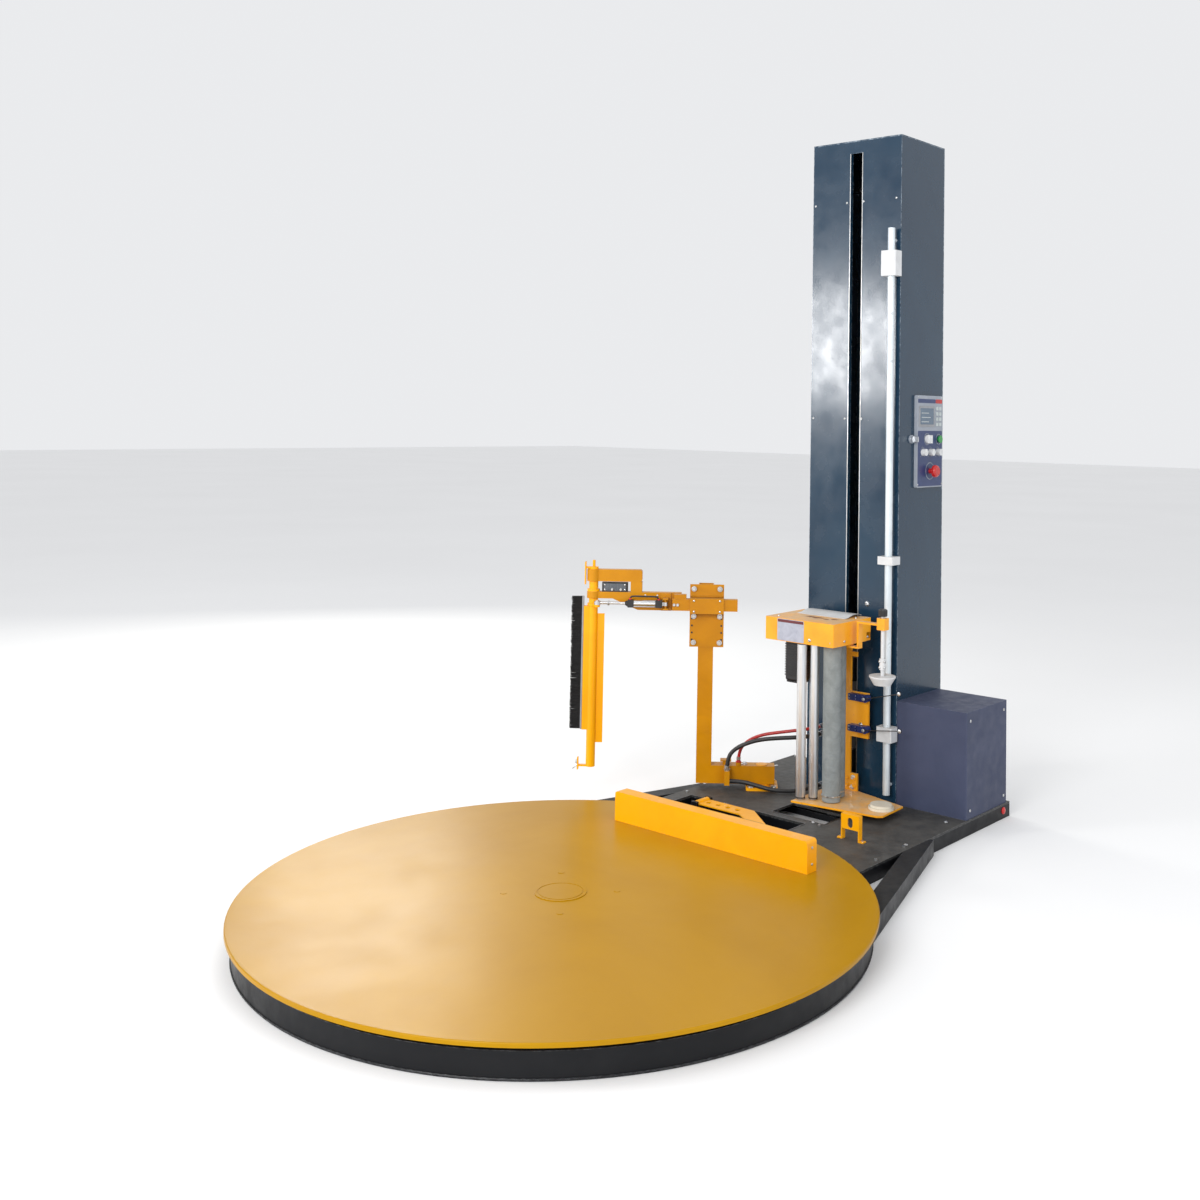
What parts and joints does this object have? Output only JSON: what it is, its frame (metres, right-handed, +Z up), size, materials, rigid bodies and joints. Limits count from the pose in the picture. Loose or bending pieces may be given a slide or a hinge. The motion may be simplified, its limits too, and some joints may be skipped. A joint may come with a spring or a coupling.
{
  "type": "turntable pallet wrapper",
  "caption": "Stretch-film pallet wrapper: low turntable, mast with lifting pre-stretch film carriage, swing-in film wiper arm, trough clamp and side control panel",
  "frame": {"origin": "the turntable's vertical axis where it meets the floor", "axes": "+Z up along the turntable's axis, +X from the turntable to the mast, -Y on the control panel's side"},
  "size_m": [2.5008, 1.6498, 2.302],
  "materials": {
    "navy_gloss": "glossy dark navy enamel on folded sheet",
    "blue_powder": "textured grey-blue powder coat",
    "ochre_paint": "glossy ochre enamel",
    "yellow_paint": "satin yellow enamel",
    "arm_paint": "glossy orange-yellow enamel",
    "dark_paint": "satin black-grey paint, worn",
    "zinc": "zinc-plated steel",
    "steel": "bare steel",
    "cast": "painted gearmotor casting",
    "alu": "drawn aluminium",
    "roller_rubber": "grey rubber covering",
    "black_rubber": "black air hose",
    "red_rubber": "red air hose",
    "bristle": "dense black bristle",
    "white_plastic": "machined white nylon",
    "black_plastic": "moulded black plastic",
    "switch_plastic": "dark blue switch housing",
    "panel_print": "printed panel overlay",
    "green_plastic": "green button cap",
    "red_plastic": "red mushroom head",
    "grey_plastic": "grey knob"
  },
  "bodies": {
    "base": {"base_ring": "dark_paint", "base_frame": "dark_paint", "centre_spindle": "steel", "deck_plate": "dark_paint", "clamp_pan": "dark_paint", "mast_shell": "navy_gloss", "mast_covers": "navy_gloss", "guide_rails": "zinc", "gearmotors": "cast", "chains": "steel", "limit_pole": "alu", "limit_dogs": "white_plastic", "control_panel": "panel_print", "drive_cover": "blue_powder", "film_guide": "yellow_paint", "deck_fasteners": "zinc", "pivot_bracket": "dark_paint", "hose_feed": "black_rubber", "hose_return": "black_rubber", "hose_red": "red_rubber", "hose_glands": "zinc"},
    "turntable": {"turntable_disc": "ochre_paint", "centre_cap": "ochre_paint", "fence_plate": "yellow_paint", "ring_sprocket": "steel"},
    "support_wheel_1": {"support_roller_1": "white_plastic"},
    "support_wheel_2": {"support_roller_2": "white_plastic"},
    "support_wheel_3": {"support_roller_3": "white_plastic"},
    "support_wheel_4": {"support_roller_4": "white_plastic"},
    "drive_shaft": {"drive_sprocket": "steel"},
    "lift_shaft": {"lift_drive_sprocket": "steel"},
    "lift_idler": {"lift_top_sprocket": "steel"},
    "carriage": {"carriage_frame": "yellow_paint", "carriage_housing": "yellow_paint", "film_motor": "black_plastic", "limit_switches": "switch_plastic", "trolley": "steel", "chuck_arm": "yellow_paint"},
    "front_idler": {"idler_roller_1": "zinc"},
    "rear_idler": {"idler_roller_2": "zinc"},
    "front_stretch": {"stretch_roller_1": "roller_rubber"},
    "rear_stretch": {"stretch_roller_2": "roller_rubber"},
    "core_disc": {"film_disc": "white_plastic"},
    "chuck": {"chuck_cone": "white_plastic"},
    "lower_lever": {"switch_lever_1": "zinc"},
    "upper_lever": {"switch_lever_2": "zinc"},
    "wiper": {"wiper_arm": "arm_paint", "wiper_valve": "black_plastic"},
    "wiper_turn": {"wiper_post": "arm_paint", "wiper_brush": "bristle"},
    "barrel": {"wiper_cylinder": "alu"},
    "rod": {"cylinder_rod": "zinc"},
    "clamp": {"clamp_arm": "yellow_paint"},
    "estop": {"estop_button": "red_plastic"},
    "start": {"start_button": "green_plastic"},
    "selector": {"selector_knob": "white_plastic"},
    "key": {"key_switch": "grey_plastic"},
    "speed_dial": {"dial_1": "black_plastic"},
    "tension_dial": {"dial_2": "black_plastic"},
    "turns_dial": {"dial_3": "black_plastic"}
  },
  "joints": [
    {"name": "turntable_spin", "type": "hinge", "parent": "base", "child": "turntable", "pos_m": [0, 0, 0.078], "axis": [0, 0, 1], "continuous": true},
    {"name": "support_wheel_1_spin", "type": "hinge", "parent": "base", "child": "support_wheel_1", "pos_m": [0.49639, 0.49639, 0.0507], "axis": [0.7071, 0.7071, 0], "continuous": true},
    {"name": "support_wheel_2_spin", "type": "hinge", "parent": "base", "child": "support_wheel_2", "pos_m": [-0.49639, 0.49639, 0.0507], "axis": [-0.7071, 0.7071, 0], "continuous": true},
    {"name": "support_wheel_3_spin", "type": "hinge", "parent": "base", "child": "support_wheel_3", "pos_m": [-0.49639, -0.49639, 0.0507], "axis": [-0.7071, -0.7071, 0], "continuous": true},
    {"name": "support_wheel_4_spin", "type": "hinge", "parent": "base", "child": "support_wheel_4", "pos_m": [0.49639, -0.49639, 0.0507], "axis": [0.7071, -0.7071, 0], "continuous": true},
    {"name": "drive_shaft_spin", "type": "hinge", "parent": "base", "child": "drive_shaft", "pos_m": [1.5175, -0.34, 0.03], "axis": [0, 0, 1], "continuous": true},
    {"name": "carriage_lift", "type": "slide", "parent": "base", "child": "carriage", "axis": [0, 0, 1], "range_m": [0, 1.45]},
    {"name": "lift_shaft_spin", "type": "hinge", "parent": "base", "child": "lift_shaft", "pos_m": [1.505, 0, 0.2], "axis": [0, 1, 0], "range_deg": [0, 2180]},
    {"name": "lift_idler_spin", "type": "hinge", "parent": "base", "child": "lift_idler", "pos_m": [1.505, 0, 2.15], "axis": [0, 1, 0], "range_deg": [0, 2180]},
    {"name": "front_idler_spin", "type": "hinge", "parent": "carriage", "child": "front_idler", "pos_m": [1.13, 0.033, 0.3], "axis": [0, 0, 1], "continuous": true},
    {"name": "rear_idler_spin", "type": "hinge", "parent": "carriage", "child": "rear_idler", "pos_m": [1.154, -0.001, 0.3], "axis": [0, 0, 1], "continuous": true},
    {"name": "rear_stretch_spin", "type": "hinge", "parent": "carriage", "child": "rear_stretch", "pos_m": [1.24, -0.033, 0.3], "axis": [0, 0, 1], "continuous": true},
    {"name": "front_stretch_spin", "type": "hinge", "parent": "carriage", "child": "front_stretch", "pos_m": [1.176, -0.057, 0.3], "axis": [0, 0, 1], "continuous": true},
    {"name": "core_disc_spin", "type": "hinge", "parent": "carriage", "child": "core_disc", "pos_m": [1.216, -0.223, 0.085], "axis": [0, 0, 1], "continuous": true},
    {"name": "chuck_lift", "type": "slide", "parent": "carriage", "child": "chuck", "axis": [0, 0, 1], "range_m": [0, 0.08]},
    {"name": "lower_lever_swing", "type": "hinge", "parent": "carriage", "child": "lower_lever", "pos_m": [1.3055, -0.098, 0.291], "axis": [1, 0, 0], "range_deg": [-18, 18], "stiffness_Nm_per_rad": 0.6},
    {"name": "upper_lever_swing", "type": "hinge", "parent": "carriage", "child": "upper_lever", "pos_m": [1.3055, -0.098, 0.394], "axis": [1, 0, 0], "range_deg": [-18, 18], "stiffness_Nm_per_rad": 0.6},
    {"name": "wiper_swing", "type": "hinge", "parent": "base", "child": "wiper", "pos_m": [1.24, 0.275, 0.09], "axis": [0, 0, 1], "range_deg": [0, 38], "deforming": ["hose_feed", "hose_return", "hose_red"]},
    {"name": "wiper_post_turn", "type": "hinge", "parent": "wiper", "child": "wiper_turn", "pos_m": [0.86493, 0.73818, 0.5], "axis": [0, 0, 1], "range_deg": [0, 35]},
    {"name": "barrel_swing", "type": "hinge", "parent": "wiper", "child": "barrel", "pos_m": [0.99258, 0.51472, 0.678], "axis": [0, 0, 1], "range_deg": [-6, 0.5]},
    {"name": "rod_slide", "type": "slide", "parent": "barrel", "child": "rod", "axis": [-0.6293, 0.7771, 0], "range_m": [-0.022, 0.001]},
    {"name": "clamp_raise", "type": "hinge", "parent": "base", "child": "clamp", "pos_m": [0.945, 0.3, 0.054], "axis": [-1, 0, 0], "range_deg": [0, 80]},
    {"name": "estop_push", "type": "slide", "parent": "base", "child": "estop", "axis": [0, 1, 0], "range_m": [0, 0.006]},
    {"name": "start_push", "type": "slide", "parent": "base", "child": "start", "axis": [0, 1, 0], "range_m": [0, 0.004], "stiffness_N_per_m": 800},
    {"name": "selector_turn", "type": "hinge", "parent": "base", "child": "selector", "pos_m": [1.542, -0.193, 1.263], "axis": [0, -1, 0], "range_deg": [-45, 45]},
    {"name": "key_turn", "type": "hinge", "parent": "base", "child": "key", "pos_m": [1.453, -0.187, 1.263], "axis": [0, -1, 0], "range_deg": [0, 90]},
    {"name": "speed_dial_turn", "type": "hinge", "parent": "base", "child": "speed_dial", "pos_m": [1.512, -0.193, 1.218], "axis": [0, -1, 0], "range_deg": [-140, 140]},
    {"name": "tension_dial_turn", "type": "hinge", "parent": "base", "child": "tension_dial", "pos_m": [1.563, -0.193, 1.218], "axis": [0, -1, 0], "range_deg": [-140, 140]},
    {"name": "turns_dial_turn", "type": "hinge", "parent": "base", "child": "turns_dial", "pos_m": [1.614, -0.193, 1.218], "axis": [0, -1, 0], "range_deg": [-140, 140]}
  ],
  "couplings": [
    {"joint": "support_wheel_1_spin", "follows": "turntable_spin", "ratio": -31.909},
    {"joint": "support_wheel_2_spin", "follows": "turntable_spin", "ratio": -31.909},
    {"joint": "support_wheel_3_spin", "follows": "turntable_spin", "ratio": -31.909},
    {"joint": "support_wheel_4_spin", "follows": "turntable_spin", "ratio": -31.909},
    {"joint": "drive_shaft_spin", "follows": "turntable_spin", "ratio": 2.8824},
    {"joint": "lift_shaft_spin", "follows": "carriage_lift", "rad_per_m": 26.194},
    {"joint": "lift_idler_spin", "follows": "carriage_lift", "rad_per_m": 26.194},
    {"joint": "front_stretch_spin", "follows": "rear_stretch_spin", "ratio": -2.5},
    {"joint": "barrel_swing", "follows": "wiper_post_turn", "ratio": -0.133},
    {"joint": "rod_slide", "follows": "wiper_post_turn", "m_per_rad": -0.03258}
  ]
}
